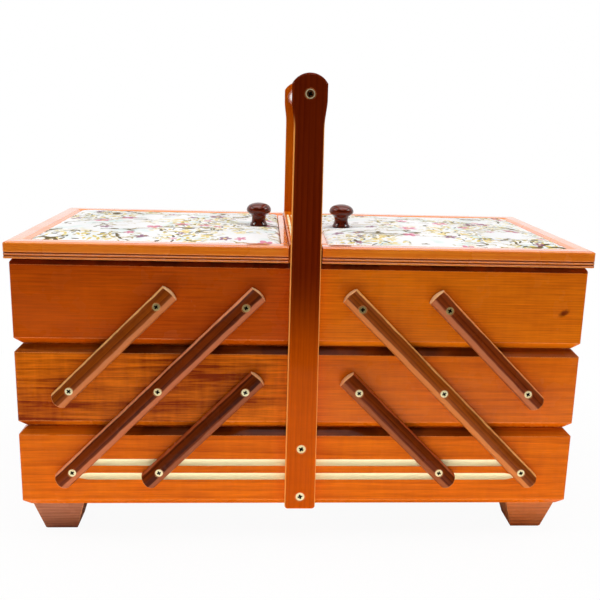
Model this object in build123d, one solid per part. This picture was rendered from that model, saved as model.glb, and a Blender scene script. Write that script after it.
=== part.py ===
from build123d import *
import math
import os

os.makedirs("parts", exist_ok=True)

# Three-tier cantilever sewing box. Millimetres, +Z up, front towards -Y.
# The origin is on the ground under the middle of the box.

# Overall sizes
body_length = 434.0        # bottom box, and both closed half-trays together
body_depth = 205.0         # bottom box, front face to back face
tier_height = 65.5         # each box or tray
tier_gap = 0.5             # air between tiers when closed
foot_height = 26.5
lid_thickness = 12.5
lid_end_overhang = 3.0     # past the trays' outer ends
lid_front_overhang = 3.5   # past the bottom box's front and back
grip_rise = 109.2          # grip axis above the lids' top

# Boards
wall = 12.0
edge_chamfer = 5.5         # on each tier's outer long edges: two make a V between tiers
top_edge_chamfer = 4.4     # top tray's upper front and back edges, under the lid
top_edge_radius = 4.4      # top tray's upper outer edge
corner_radius = 1.6        # vertical corners
corner_lap = 6.0           # front and back boards lap the end boards by this much
floor_thickness = 4.0
floor_rise = 6.0           # underside of the floor above the tier's bottom
groove_depth = 5.0
groove_clearance = 0.15
tray_split = 3.0           # gap between the left and right half-trays
inner_wall = 10.5          # half-trays' inner end boards
inner_wall_rise = 1.0      # top trays' inner ends stand this far above the lids
tray_side_clearance = 0.5  # trays pass this far behind the uprights

# Feet
foot_top_width = 39.5
foot_bottom_width = 24.5
foot_inset = 6.5           # from the box's outside
foot_edge_round = 3.0

# Decorative flutes on the bottom box
flute_width = 5.6
flute_depth = 1.3
flute_heights = (25.7, 37.4)   # centres above the box's bottom
flute_end_inset = 41.5         # from the box's end to the flute's tip
flute_runout = 10.0            # length over which the cutter rises out

# Narrow flutes along the top of the top trays' inner ends
crest_flute_width = 2.0
crest_flute_depth = 0.7
crest_flute_spacing = 3.8
crest_flute_length = 150.0
crest_round = 1.0

# Folding arms
outer_pivot_inset = 41.5   # outermost pivots, from the box's end
inner_pivot_offset = 43.5  # innermost pivots, from the middle
pivot_rise = 32.5          # above each tier's bottom
arm_width = 14.5
arm_thickness = 9.0
arm_end_radius = 14.8      # shallow arc about the end pivot
arm_front_round = 6.8
arm_gap = 0.3              # between an arm and the bottom box

# Screws
pivot_screw_radius = 1.5
pivot_head_radius = 3.0
pivot_screw_bite = wall - 2.0   # length inside the bottom box's wall
handle_screw_radius = 1.75
handle_head_radius = 3.5
handle_screw_bite = wall - 1.0
head_recess = 0.2          # head face below the wood
head_clearance = 0.1
pivot_clearance = 0.08     # arm hole round a screw
thread_clearance = 0.02    # pilot hole round a screw
pilot_extra = 0.5          # pilot holes run past the screws' ends
small_sides = 12           # screws, hinge barrels and their holes are twelve-sided, to stay light

# Handle
upright_thickness = 11.0
upright_foot_width = 24.0
upright_waist_width = 21.5
upright_head_width = 25.0
upright_waist_drop = 22.7      # below the grip axis
upright_cheek_drop = 4.0       # where the head's straight sides start
upright_head_radius = 14.4
upright_edge_round = 2.2
upright_corner_round = 2.6     # bottom corners
upright_bottom_rise = 2.5      # above the bottom box's bottom
upright_screw_rises = (13.3, 53.3)
grip_diameter = 20.0
grip_edge = 1.0

# Lids
lid_inner_offset = 12.5    # lid's inner end from the middle, clear of the uprights
lid_gap = 0.5              # lid above the top tray
rail_width = 21.0
inner_strip_width = 5.5    # plain strip between the long rails, at the lid's inner end
strip_drop = 1.0           # strip's top below the rails'
strip_round = 0.8
rail_flat = 11.5           # outer edge to the start of the bevel
rail_bevel_drop = 4.0
rail_outer_round = 3.0
rail_lip = 5.0             # rail above the board's edge
bead_groove_width = 1.8
bead_groove_depth = 0.9
bead_groove_rises = (4.3, 2.0)
board_thickness = 3.0
board_recess = 1.0         # board above the rails' underside
board_clearance = 0.1
pad_clearance = 0.3
pad_overlap = 6.5          # pad swells this far over the rails' bevels
pad_crown = 1.6            # pad's top above the rails' top
pad_round = 1.4
knob_dimple = 1.6          # the knob's seat below the pad's top
knob_dimple_slope = 5.0    # from the seat's rim out to the pad's top
lid_corner_radius = 2.4    # upright corners at the lids' outer ends

# Knobs
knob_offset = 23.0         # from the lid's inner end
knob_height = 20.0
knob_cap_diameter = 21.0
knob_neck_diameter = 11.6
knob_base_diameter = 15.0
knob_foot_share = 0.1      # of the height: where the waist starts
knob_brim_share = 0.66     # of the height: where the cap is widest
knob_waist_rings = 4       # cones that make the waist's hollow
knob_dome_rings = 3        # cones that make the cap's dome
knob_screw_radius = 1.75
knob_screw_bite = 12.0
knob_pan_radius = 3.5
knob_pan_height = 1.8

# Lid hinges
hinge_offset = 58.0        # from the middle of the box's depth
hinge_length = 25.0
hinge_leaf = 0.8
hinge_leaf_reach = 9.5     # leaf from its free edge to the tray's outer face
hinge_barrel_radius = 1.8
hinge_pin_radius = 0.9
hinge_pin_clearance = 0.05
hinge_out = 1.2            # pin's axis outside the tray's outer face
hinge_knuckle_gap = 0.25
hinge_notch_clearance = 0.4
hinge_seat_clearance = 0.05

# Derived places
half_length = body_length / 2
tier_pitch = tier_height + tier_gap
tier_bottoms = [foot_height + i * tier_pitch for i in range(3)]
pivot_heights = [bottom + pivot_rise for bottom in tier_bottoms]
outer_pivot_x = half_length - outer_pivot_inset
pivot_pitch = (outer_pivot_x - inner_pivot_offset) / 2
pivot_xs = [inner_pivot_offset + i * pivot_pitch for i in range(3)]
tray_depth = body_depth - 2 * tray_side_clearance
tray_top = tier_bottoms[2] + tier_height
lid_bottom = tray_top + lid_gap
lid_top = lid_bottom + lid_thickness
lid_length = half_length + lid_end_overhang - lid_inner_offset
lid_middle = lid_inner_offset + lid_length / 2
lid_depth = body_depth + 2 * lid_front_overhang
grip_z = lid_top + grip_rise
arm_back = body_depth / 2 + arm_gap
hinge_x = half_length + hinge_out
hinge_z = tray_top + lid_gap / 2
knob_x = lid_inner_offset + knob_offset
pad_top = lid_top + pad_crown
knob_z = pad_top - knob_dimple + pad_clearance

nodes = {}


def span_box(x, y, z):
    """Box between two limits on each axis."""
    size = (x[1] - x[0], y[1] - y[0], z[1] - z[0])
    centre = ((x[0] + x[1]) / 2, (y[0] + y[1]) / 2, (z[0] + z[1]) / 2)
    return Pos(*centre) * Box(*size)


def from_back(part):
    """The same piece on the back of the box."""
    return mirror(part, about=Plane.XZ)


def from_left(part):
    """The same piece on the left of the box."""
    return mirror(part, about=Plane.YZ)


def add(name, *pieces):
    """Keep a node made of one or more separate solids."""
    solids = [solid for piece in pieces for solid in piece.solids()]
    nodes[name] = solids


# Screws and their holes, built along +Z with the head's face at the origin

def shaft(radius, length):
    """Twelve-sided bar down from the origin, inside a circle of this radius."""
    return extrude(RegularPolygon(radius, small_sides), -length)


def shaft_hole(radius, length):
    """Twelve-sided hole down from the origin, outside a circle of this radius."""
    return extrude(RegularPolygon(radius, small_sides, major_radius=False), -length)


def screw(radius, head_radius, length):
    """Countersunk screw without its thread."""
    head = extrude(RegularPolygon(head_radius, small_sides), radius - head_radius, taper=45)
    return head + shaft(radius, length)


def screw_hole(radius, head_radius, clearance, depth):
    """Countersunk hole for a screw whose head sits just below the face."""
    rim = head_radius + head_clearance + head_recess
    sink = RegularPolygon(rim, small_sides, major_radius=False)
    bore = radius + clearance
    return extrude(sink, bore - rim, taper=45) + extrude(sink, 1) + shaft_hole(bore, depth)


def on_front(x, z, y):
    """Frame on the front side: local Z points out of the box."""
    return Plane(origin=(x, -y, z), x_dir=(1, 0, 0), z_dir=(0, -1, 0)).location


# Boxes and trays

def tier_section(low, high, bottom, low_square, top_chamfer, rounded_top):
    """Upright section of a tier, with its outer edges worked; low_square leaves the low side plain."""
    top = bottom + tier_height
    section = Pos((low + high) / 2, bottom + tier_height / 2) * Rectangle(high - low, tier_height)

    def outer_corners(face, level):
        level_ones = [v for v in face.vertices() if abs(v.Y - level) < 0.01]
        return [v for v in level_ones if not (low_square and abs(v.X - low) < 0.01)]

    section = chamfer(outer_corners(section, bottom), edge_chamfer)
    if rounded_top:
        return fillet(outer_corners(section, top), top_edge_radius)
    return chamfer(outer_corners(section, top), top_chamfer)


def tier_block(x, depth, bottom, open_end, under_lid):
    """Solid outside form of a tier; open_end leaves its inner end square."""
    half = depth / 2
    across = tier_section(-half, half, bottom, False, top_edge_chamfer if under_lid else edge_chamfer, False)
    along = tier_section(*x, bottom, open_end, edge_chamfer, under_lid)
    plan = Pos((x[0] + x[1]) / 2, 0) * Rectangle(x[1] - x[0], depth)
    corners = [v for v in plan.vertices() if not (open_end and abs(v.X - x[0]) < 0.01)]
    plan = fillet(corners, corner_radius)
    block = extrude(Plane.YZ * across, x[1], both=True)
    block &= extrude(Plane.XZ * along, depth, both=True)
    return block & extrude(plan, bottom + tier_height)


def tier_boards(x, depth, bottom, open_end, under_lid, inner_thickness):
    """Front, back, inner and outer end boards and floor of a tier."""
    block = tier_block(x, depth, bottom, open_end, under_lid)
    height = (bottom, bottom + tier_height)
    half = depth / 2
    lap = half - corner_lap
    inner_slab = span_box((x[0], x[0] + inner_thickness), (-lap, lap), height)
    outer_slab = span_box((x[1] - wall, x[1]), (-lap, lap), height)
    front_slab = span_box(x, (-half, -half + wall), height)
    under = bottom + floor_rise
    reach = wall - groove_depth
    inner_reach = inner_thickness - groove_depth
    groove = span_box(
        (x[0] + inner_reach, x[1] - reach), (-half + reach, half - reach),
        (under, under + floor_thickness + groove_clearance)
    )
    floor = span_box(
        (x[0] + inner_reach + groove_clearance, x[1] - reach - groove_clearance),
        (-half + reach + groove_clearance, half - reach - groove_clearance),
        (under, under + floor_thickness)
    )
    front = (block & front_slab) - inner_slab - outer_slab - groove
    back = (block & from_back(front_slab)) - inner_slab - outer_slab - groove
    return {
        "front_panel": front,
        "back_panel": back,
        "inner_end": (block & inner_slab) - groove,
        "outer_end": (block & outer_slab) - groove,
        "floor": floor,
    }


def pilots(places, depth, bite):
    """Pilot holes in a front board for screws that bite this deep."""
    hole = shaft_hole(pivot_screw_radius + thread_clearance, bite + pilot_extra)
    return [on_front(x, z, depth / 2) * hole for x, z in places]


pivot_screw_length = arm_gap + arm_thickness - head_recess + pivot_screw_bite


def pivot_screws(places):
    """Front and back pivot screws at the given places."""
    face = arm_back + arm_thickness - head_recess
    body = screw(pivot_screw_radius, pivot_head_radius, pivot_screw_length)
    front = [on_front(x, z, face) * body for x, z in places]
    return front + [from_back(piece) for piece in front]


# Pivots, right side, by the body that carries the screw
inner_x, middle_x, outer_x = pivot_xs
low, middle, high = pivot_heights
base_pivots = [(outer_x, low), (middle_x, low)]
middle_pivots = [(outer_x, middle), (middle_x, middle), (inner_x, middle)]
top_pivots = [(middle_x, high), (inner_x, high)]


def both_sides(places):
    return places + [(-x, z) for x, z in places]


# Bottom box

def flute(height):
    """Spindle-shaped cutter whose ends rise out of the face."""
    radius = (flute_width ** 2 / 4 + flute_depth ** 2) / (2 * flute_depth)
    tip = half_length - flute_end_inset
    outline = Polyline(
        (-tip, 0), (-tip, radius - flute_depth), (-tip + flute_runout, radius),
        (tip - flute_runout, radius), (tip, radius - flute_depth), (tip, 0), close=True
    )
    cutter = revolve(make_face(outline), Axis.X)
    return Pos(0, -body_depth / 2 - radius + flute_depth, foot_height + height) * cutter


def upright_holes():
    """Pilot holes in the bottom box for the front upright's screws."""
    hole = shaft_hole(handle_screw_radius + thread_clearance, handle_screw_bite + pilot_extra)
    return [on_front(0, foot_height + rise, body_depth / 2) * hole for rise in upright_screw_rises]


base = tier_boards((-half_length, half_length), body_depth, foot_height, False, False, wall)
board_holes = pilots(both_sides(base_pivots), body_depth, pivot_screw_bite) + upright_holes()
base["front_panel"] -= board_holes
base["back_panel"] -= [from_back(hole) for hole in board_holes]
base["front_panel"] -= [flute(height) for height in flute_heights]
add("base_front_panel", base["front_panel"])
add("base_back_panel", base["back_panel"])
add("base_left_end", base["inner_end"])
add("base_right_end", base["outer_end"])
add("base_floor", base["floor"])
add("base_pivot_screws", *pivot_screws(both_sides(base_pivots)))


def foot():
    """Tapered block, top face at the origin."""
    top = Rectangle(foot_top_width, foot_top_width)
    bottom = Pos(0, 0, -foot_height) * Rectangle(foot_bottom_width, foot_bottom_width)
    block = loft([bottom.face(), top.face()], ruled=True)
    return fillet(block.edges().group_by(Axis.Z)[0], foot_edge_round)


foot_x = half_length - foot_inset - foot_top_width / 2
foot_y = body_depth / 2 - foot_inset - foot_top_width / 2
add("feet", *[Pos(x, y, foot_height) * foot() for x in (-foot_x, foot_x) for y in (-foot_y, foot_y)])


# Handle

def upright():
    """Front upright: outline in X and height, thickened outwards."""
    bottom = foot_height + upright_bottom_rise
    waist_z = grip_z - upright_waist_drop
    cheek_z = grip_z - upright_cheek_drop
    foot_half = upright_foot_width / 2
    waist = upright_waist_width / 2
    head = upright_head_width / 2
    shoulder_z = grip_z + math.sqrt(upright_head_radius ** 2 - head ** 2)
    side = [
        Line((0, bottom), (foot_half, bottom)),
        Line((foot_half, bottom), (waist, waist_z)),
        Spline([(waist, waist_z), (head, cheek_z)], tangents=[(0, 1), (0, 1)], tangent_scalars=(1.2, 0.8)),
        Line((head, cheek_z), (head, shoulder_z)),
        RadiusArc((head, shoulder_z), (0, grip_z + upright_head_radius), -upright_head_radius),
    ]
    half = Curve() + side
    outline = make_face(half + mirror(half, about=Plane.YZ))
    bottom_corners = outline.vertices().group_by(Axis.Y)[0].filter_by(lambda v: abs(v.X) > 1)
    outline = fillet(bottom_corners, upright_corner_round)
    board = extrude(on_front(0, 0, body_depth / 2) * outline, upright_thickness)
    return fillet(board.edges().group_by(Axis.Y)[0], upright_edge_round)


upright_face = body_depth / 2 + upright_thickness
handle_places = [foot_height + rise for rise in upright_screw_rises] + [grip_z]
handle_hole = screw_hole(handle_screw_radius, handle_head_radius, thread_clearance, upright_thickness + 1)
front_upright = upright() - [on_front(0, z, upright_face) * handle_hole for z in handle_places]
add("handle_front_upright", front_upright)
add("handle_back_upright", from_back(front_upright))

handle_screw = screw(
    handle_screw_radius, handle_head_radius, upright_thickness - head_recess + handle_screw_bite
)
front_screws = [on_front(0, z, upright_face - head_recess) * handle_screw for z in handle_places]
add("handle_screws", *front_screws, *[from_back(piece) for piece in front_screws])


def grip():
    """Round bar between the uprights, with a pilot hole in each end."""
    bar = extrude(Plane.XZ * Circle(grip_diameter / 2), body_depth / 2, both=True)
    bar = chamfer(bar.edges().filter_by(GeomType.CIRCLE), grip_edge)
    hole = shaft_hole(handle_screw_radius + thread_clearance, handle_screw_bite + pilot_extra)
    pilot = on_front(0, 0, body_depth / 2) * hole
    return Pos(0, 0, grip_z) * (bar - pilot - from_back(pilot))


add("handle_grip", grip())


# Arms

def arm(start, end, pivots):
    """Front arm between two end pivots, with a countersunk hole at each pivot."""
    length = math.dist(start, end)
    half = arm_width / 2
    reach = math.sqrt(arm_end_radius ** 2 - half ** 2)
    outline = Curve() + [
        Line((-reach, half), (length + reach, half)),
        ThreePointArc((length + reach, half), (length + arm_end_radius, 0), (length + reach, -half)),
        Line((length + reach, -half), (-reach, -half)),
        ThreePointArc((-reach, -half), (-arm_end_radius, 0), (-reach, half)),
    ]
    bar = extrude(make_face(outline), arm_thickness)
    long_edges = bar.edges().group_by(Axis.Z)[-1].filter_by(Axis.X)
    bar = fillet(long_edges, arm_front_round)
    hole = screw_hole(pivot_screw_radius, pivot_head_radius, pivot_clearance, arm_thickness + 1)
    bar -= [Pos(math.dist(start, pivot), 0, arm_thickness) * hole for pivot in pivots]
    lean = (end[0] - start[0], 0, end[1] - start[1])
    place = Plane(origin=(start[0], -arm_back, start[1]), x_dir=lean, z_dir=(0, -1, 0))
    return place.location * bar


arms = {
    "long": arm((outer_x, low), (inner_x, high), [(outer_x, low), (middle_x, middle), (inner_x, high)]),
    "lower": arm((middle_x, low), (inner_x, middle), [(middle_x, low), (inner_x, middle)]),
    "upper": arm((outer_x, middle), (middle_x, high), [(outer_x, middle), (middle_x, high)]),
}
for name, piece in arms.items():
    for side, turned in (("left", from_left(piece)), ("right", piece)):
        add(f"{side}_{name}_arm_front", turned)
        add(f"{side}_{name}_arm_back", from_back(turned))


# Lid hinges, right side

hinge_centres = (-hinge_offset, hinge_offset)
knuckle = hinge_length / 3
leaf_edge = half_length - hinge_leaf_reach
barrel_clear = hinge_x - hinge_barrel_radius - hinge_knuckle_gap


def barrel(y, length, radius, outside=False):
    """Bar along the hinge's axis; outside puts its flats, not its corners, on the radius."""
    bar = extrude(RegularPolygon(radius, small_sides, major_radius=not outside), length / 2, both=True)
    return Pos(hinge_x, y, hinge_z) * Rot(90, 0, 0) * bar


def leaf(y, z, knuckles):
    """Hinge leaf with its share of the barrel; each knuckle is a middle and a length."""
    half = hinge_length / 2
    plate = span_box((leaf_edge, barrel_clear), (y - half, y + half), (z, z + hinge_leaf))
    for middle_y, length in knuckles:
        span = (y + middle_y - length / 2, y + middle_y + length / 2)
        plate += span_box((leaf_edge, hinge_x), span, (z, z + hinge_leaf))
        plate += barrel(y + middle_y, length, hinge_barrel_radius)
    return plate - barrel(y, hinge_length + 2, hinge_pin_radius + hinge_pin_clearance, True)


outer_length = knuckle - hinge_knuckle_gap
outer_offset = knuckle + hinge_knuckle_gap / 2
tray_knuckles = [(-outer_offset, outer_length), (outer_offset, outer_length)]
lid_knuckles = [(0, knuckle - hinge_knuckle_gap)]
tray_leaves = [leaf(y, tray_top - hinge_leaf, tray_knuckles) for y in hinge_centres]
lid_leaves = [leaf(y, lid_bottom, lid_knuckles) for y in hinge_centres]
pins = [barrel(y, hinge_length, hinge_pin_radius) for y in hinge_centres]


def leaf_seats(z):
    """Shallow rebates that take the leaves on one side of the seam."""
    half = hinge_length / 2 + hinge_seat_clearance
    x = (leaf_edge - hinge_seat_clearance, half_length + 2 * lid_end_overhang)
    return [span_box(x, (y - half, y + half), z) for y in hinge_centres]


tray_seats = leaf_seats((tray_top - hinge_leaf, tray_top + 1))
lid_seats = leaf_seats((lid_bottom - 1, lid_bottom + hinge_leaf))
notch_radius = hinge_barrel_radius + hinge_notch_clearance
notches = [barrel(y, hinge_length + 2 * hinge_seat_clearance, notch_radius, True) for y in hinge_centres]


# Half-trays, right side

def crest():
    """Upper part of a top tray's inner end, which stands between the lids."""
    x = (tray_split / 2, tray_split / 2 + inner_wall)
    block = span_box(x, (-tray_depth / 2, tray_depth / 2), (tray_top, lid_top + inner_wall_rise))
    edges = block.edges().group_by(Axis.Z)[-1].filter_by(Axis.Y)
    return fillet(edges, crest_round)


def crest_flutes():
    radius = (crest_flute_width ** 2 / 4 + crest_flute_depth ** 2) / (2 * crest_flute_depth)
    middle_x = tray_split / 2 + inner_wall / 2
    top = lid_top + inner_wall_rise
    half = crest_flute_length / 2
    runout = 2 * crest_flute_depth
    outline = Polyline(
        (radius - crest_flute_depth, -half), (radius, -half + runout), (radius, half - runout),
        (radius - crest_flute_depth, half), (0, half), (0, -half), close=True
    )
    cutter = revolve(make_face(outline), Axis.Y)
    places = (middle_x - crest_flute_spacing / 2, middle_x + crest_flute_spacing / 2)
    return [Pos(x, 0, top + radius - crest_flute_depth) * cutter for x in places]


tray_span = (tray_split / 2, half_length)
tray_bite = pivot_screw_bite - tray_side_clearance
tray_tiers = (("middle", tier_bottoms[1], middle_pivots), ("top", tier_bottoms[2], top_pivots))
for tier, bottom, pivots in tray_tiers:
    boards = tier_boards(tray_span, tray_depth, bottom, True, tier == "top", inner_wall)
    holes = pilots(pivots, tray_depth, tray_bite)
    boards["front_panel"] -= holes
    boards["back_panel"] -= [from_back(hole) for hole in holes]
    if tier == "top":
        boards["outer_end"] -= tray_seats + notches
        boards["inner_end"] = (boards["inner_end"] + crest()) - crest_flutes()
    screws = pivot_screws(pivots)
    for board, piece in boards.items():
        add(f"left_{tier}_{board}", from_left(piece))
        add(f"right_{tier}_{board}", piece)
    add(f"left_{tier}_pivot_screws", *[from_left(piece) for piece in screws])
    add(f"right_{tier}_pivot_screws", *screws)


# Lids, right side

def rail(length, square_end):
    """Moulding along X, outer face at y=0, underside at z=0, mitred, or square at its low end."""
    groove_half = bead_groove_width / 2
    beads = []
    for rise in bead_groove_rises[::-1]:
        beads += [(0, rise - groove_half), (bead_groove_depth, rise), (0, rise + groove_half)]
    bevel_foot = lid_thickness - rail_bevel_drop
    board_top = board_recess + board_thickness + board_clearance
    outline = Curve() + [
        Polyline((rail_width - rail_lip, 0), (0, 0), *beads, (0, lid_thickness - rail_outer_round)),
        RadiusArc(
            (0, lid_thickness - rail_outer_round), (rail_outer_round, lid_thickness), rail_outer_round
        ),
        Polyline(
            (rail_outer_round, lid_thickness), (rail_flat, lid_thickness), (rail_width, bevel_foot),
            (rail_width, board_top), (rail_width - rail_lip, board_top), (rail_width - rail_lip, 0)
        ),
    ]
    moulding = extrude(Plane.YZ * make_face(outline), length / 2, both=True)
    half = length / 2
    corners = [(-half, 0), (half, 0), (half - rail_width, rail_width), (-half + rail_width, rail_width)]
    if square_end:
        corners[3] = (-half, rail_width)
    plan = make_face(Polyline(*corners, close=True))
    return moulding & extrude(plan, lid_thickness)


def lid_rails():
    """Mouldings on three sides, mitred at the outer corners, and the plain inner strip."""
    front = Pos(lid_middle, -lid_depth / 2, lid_bottom) * rail(lid_length, True)
    outer = Pos(lid_inner_offset + lid_length, 0, lid_bottom) * Rot(0, 0, 90) * rail(lid_depth, False)
    plan = Pos(lid_middle, 0, lid_bottom) * Rectangle(lid_length, lid_depth)
    corners = [vertex for vertex in plan.vertices() if vertex.X > lid_middle]
    outline = extrude(fillet(corners, lid_corner_radius), lid_thickness)
    front &= outline
    outer &= outline
    strip_half = lid_depth / 2 - rail_width
    strip = span_box(
        (lid_inner_offset, lid_inner_offset + inner_strip_width), (-strip_half, strip_half),
        (lid_bottom, lid_top - strip_drop)
    )
    strip = fillet(strip.edges().group_by(Axis.Z)[-1], strip_round)
    return [front, from_back(front), strip, outer - lid_seats - notches]


def lid_fill(edge, inner_edge, z):
    """Slab inside the lid's frame, this far in from the outer edges and from the inner end."""
    x = (lid_inner_offset + inner_edge, lid_inner_offset + lid_length - edge)
    return span_box(x, (-lid_depth / 2 + edge, lid_depth / 2 - edge), z)


def knob():
    """Turned knob: foot, waist and domed cap, in conical rings."""
    foot_half = knob_base_diameter / 2
    neck = knob_neck_diameter / 2
    cap = knob_cap_diameter / 2
    foot_rise = knob_foot_share * knob_height
    brim = knob_brim_share * knob_height
    dome_rise = knob_height - brim
    dome_radius = (cap ** 2 + dome_rise ** 2) / (2 * dome_rise)
    waist = ThreePointArc((foot_half, foot_rise), (neck, (foot_rise + brim) / 2), (cap, brim))
    dome = RadiusArc((cap, brim), (0, knob_height), -dome_radius)
    waist_points = [waist @ (i / knob_waist_rings) for i in range(knob_waist_rings + 1)]
    dome_points = [dome @ (i / knob_dome_rings) for i in range(1, knob_dome_rings)]
    points = [(point.X, point.Y) for point in waist_points + dome_points]
    crown = [(points[-1][0] / 2, knob_height), (0, knob_height)]
    outline = Polyline((0, 0), (foot_half, 0), *points, *crown, close=True)
    body = revolve(Plane.XZ * make_face(outline), Axis.Z)
    bore_depth = knob_screw_bite + pilot_extra
    bore = Pos(0, 0, bore_depth) * shaft_hole(knob_screw_radius + thread_clearance, bore_depth)
    return Pos(knob_x, 0, knob_z) * (body - bore)


def pad():
    """Padded panel: upright sides between the rails, flared over their bevels, with rounded upper edges."""
    bevel_foot = lid_top - rail_bevel_drop
    bevel_slope = rail_bevel_drop / (rail_width - rail_flat)
    brim = bevel_foot + pad_clearance + pad_overlap * bevel_slope
    inset = rail_width + pad_clearance
    inner = inner_strip_width + pad_clearance
    x = (lid_inner_offset + inner, lid_inner_offset + lid_length - inset)
    width = lid_depth - 2 * inset
    length = x[1] - x[0]
    core = lid_fill(inset, inner, (board_z[1] + pad_clearance, bevel_foot + pad_clearance))
    narrow = Pos((x[0] + x[1]) / 2, 0, bevel_foot + pad_clearance) * Rectangle(length, width)
    wide = Pos((x[0] + x[1] + pad_overlap) / 2, 0, brim)
    wide *= Rectangle(length + pad_overlap, width + 2 * pad_overlap)
    flare = loft([narrow.face(), wide.face()], ruled=True)
    top = lid_fill(inset - pad_overlap, inner, (brim, pad_top))
    top = fillet(top.edges().group_by(Axis.Z)[-1], pad_round)
    seat = knob_base_diameter / 2 + pad_clearance
    dimple = Cone(seat, seat + knob_dimple_slope, knob_dimple, align=(Align.CENTER, Align.CENTER, Align.MAX))
    return core + flare + top - Pos(knob_x, 0, pad_top) * dimple


board_z = (lid_bottom + board_recess, lid_bottom + board_recess + board_thickness)
knob_axis = Pos(knob_x, 0, board_z[0])
above_lid = knob_axis * Pos(0, 0, lid_thickness)
screw_bore = above_lid * shaft_hole(knob_screw_radius + pivot_clearance, 2 * lid_thickness)
board_edge = rail_width - rail_lip + board_clearance
board = lid_fill(board_edge, inner_strip_width + board_clearance, board_z) - screw_bore
pad_bore = above_lid * shaft_hole(knob_screw_radius + pad_clearance, 2 * lid_thickness)
shank_length = knob_z - board_z[0] + knob_screw_bite
knob_screw = knob_axis * (
    Pos(0, 0, shank_length) * shaft(knob_screw_radius, shank_length) + shaft(knob_pan_radius, knob_pan_height)
)

lid_nodes = {
    "lid_rails": lid_rails(),
    "lid_board": [board],
    "lid_pad": [pad() - pad_bore],
    "lid_knob": [knob(), knob_screw],
    "hinge_lid_leaves": lid_leaves,
    "hinge_tray_leaves": tray_leaves + pins,
}
for name, pieces in lid_nodes.items():
    add(f"left_{name}", *[from_left(piece) for piece in pieces])
    add(f"right_{name}", *pieces)


for name, solids in nodes.items():
    export_step(Compound(children=solids, label=name), f"parts/{name}.step")
print(len(nodes), "nodes,", sum(len(solids) for solids in nodes.values()), "solids")
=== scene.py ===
import math
import random

import bmesh
import bpy
import numpy as np
from mathutils import Matrix, Vector


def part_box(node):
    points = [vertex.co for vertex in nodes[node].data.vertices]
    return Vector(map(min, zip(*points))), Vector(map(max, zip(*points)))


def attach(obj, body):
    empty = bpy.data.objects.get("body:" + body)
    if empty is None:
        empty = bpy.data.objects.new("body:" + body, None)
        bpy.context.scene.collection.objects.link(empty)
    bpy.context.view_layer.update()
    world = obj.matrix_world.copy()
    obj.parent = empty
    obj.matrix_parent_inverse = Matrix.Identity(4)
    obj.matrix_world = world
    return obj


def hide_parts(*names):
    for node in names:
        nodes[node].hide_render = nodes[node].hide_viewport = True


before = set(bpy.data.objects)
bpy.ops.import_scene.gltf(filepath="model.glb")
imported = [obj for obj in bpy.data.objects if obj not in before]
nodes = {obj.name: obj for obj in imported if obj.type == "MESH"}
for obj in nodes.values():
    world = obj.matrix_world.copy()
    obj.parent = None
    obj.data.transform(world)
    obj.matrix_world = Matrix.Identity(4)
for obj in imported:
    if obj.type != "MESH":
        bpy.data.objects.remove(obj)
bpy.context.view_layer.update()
sides = {"left": -1, "right": 1}
print("frame:", len(nodes), "CAD nodes")


# Small helpers for node trees

def rgb(red, green, blue):
    # screen values 0-255 to linear colour
    shares = [value / 255 for value in (red, green, blue)]
    curved = [c / 12.92 if c <= 0.04 else ((c + 0.055) / 1.055) ** 2.4 for c in shares]
    return (*curved, 1.0)


def setUp(thing, **settings):
    for key, value in settings.items():
        setattr(thing, key, value)
    return thing


def place(kind, inputs=None, tree=None, **settings):
    # a shader node, in the given tree or the one that its wired inputs come from
    inputs = inputs or {}
    wired = {key: value for key, value in inputs.items() if isinstance(value, bpy.types.NodeSocket)}
    tree = tree or next(iter(wired.values())).id_data
    node = setUp(tree.nodes.new("ShaderNode" + kind), **settings)
    for key, value in inputs.items():
        if key in wired:
            tree.links.new(value, node.inputs[key])
        else:
            node.inputs[key].default_value = value
    return node


def useGroup(group, inputs):
    return place("Group", inputs, node_tree=group).outputs


def maths(operation, first, second=0.0, clamp=False):
    wired = {0: first, 1: second}
    return place("Math", wired, operation=operation, use_clamp=clamp).outputs[0]


def times(value, *factors):
    for factor in factors:
        value = maths("MULTIPLY", value, factor)
    return value


def minus(first, second):
    return maths("SUBTRACT", first, second)


def below(first, second):
    return maths("LESS_THAN", first, second)


def size(value):
    return maths("ABSOLUTE", value)


def vectors(operation, first, second=(0, 0, 0)):
    node = place("VectorMath", {0: first, 1: second}, operation=operation)
    return node.outputs["Value" if operation in ("LENGTH", "DOT_PRODUCT") else "Vector"]


def stretch(vector, factors):
    return vectors("MULTIPLY", vector, factors)


def along(vector, axis):
    # the vector's share along X, Y or Z
    return place("SeparateXYZ", {0: vector}).outputs["XYZ".index(axis)]


def facingAlong(point, axis):
    return along(place("NewGeometry", tree=point.id_data).outputs["Normal"], axis)


def mixColours(amount, first, second):
    # in colour mode, the Mix node's colour sockets are numbers 6 and 7
    return place("Mix", {0: amount, 6: first, 7: second}, data_type="RGBA").outputs[2]


def ranged(value, low, high, newLow=0.0, newHigh=1.0):
    inputs = {0: value, 1: low, 2: high, 3: newLow, 4: newHigh}
    return place("MapRange", inputs, interpolation_type="SMOOTHSTEP").outputs[0]


def noise(vector, scale, detail=2.0, roughness=0.5, output="Fac"):
    inputs = {"Vector": vector, "Scale": scale, "Detail": detail, "Roughness": roughness}
    return place("TexNoise", inputs).outputs[output]


def drift(vector, scale, reach, middle=0.5):
    # a random offset at each point, less the middle, times the reach
    offset = noise(vector, scale, output="Color")
    return stretch(vectors("SUBTRACT", offset, (middle, middle, middle)), reach)


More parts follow.
